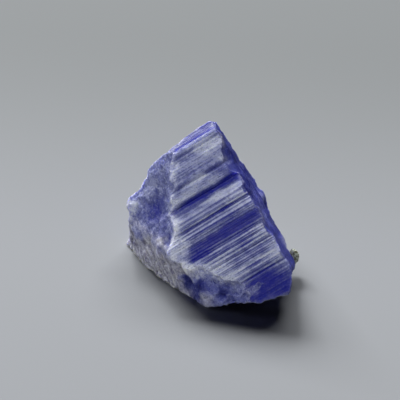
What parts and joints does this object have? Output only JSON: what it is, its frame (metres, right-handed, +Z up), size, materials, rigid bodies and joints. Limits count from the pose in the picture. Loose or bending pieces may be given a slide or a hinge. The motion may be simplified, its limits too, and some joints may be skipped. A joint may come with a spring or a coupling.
{
  "type": "rough tanzanite crystal",
  "caption": "Rough violet-blue tanzanite: a thick striated prism leaning to one side, broken at both ends and underneath, with a grain of matrix on its edge.",
  "frame": {"origin": "on the surface that the stone rests on, under the middle of its box", "axes": "+Z up, +X towards the end that the long axis leans up to, -Y towards the striated face"},
  "size_m": [0.0188, 0.0156, 0.0149],
  "materials": {
    "zoisite": "satin",
    "matrix": "matte"
  },
  "bodies": {
    "root": {"tanzanite_crystal": "zoisite", "matrix_grain": "matrix"}
  },
  "joints": []
}
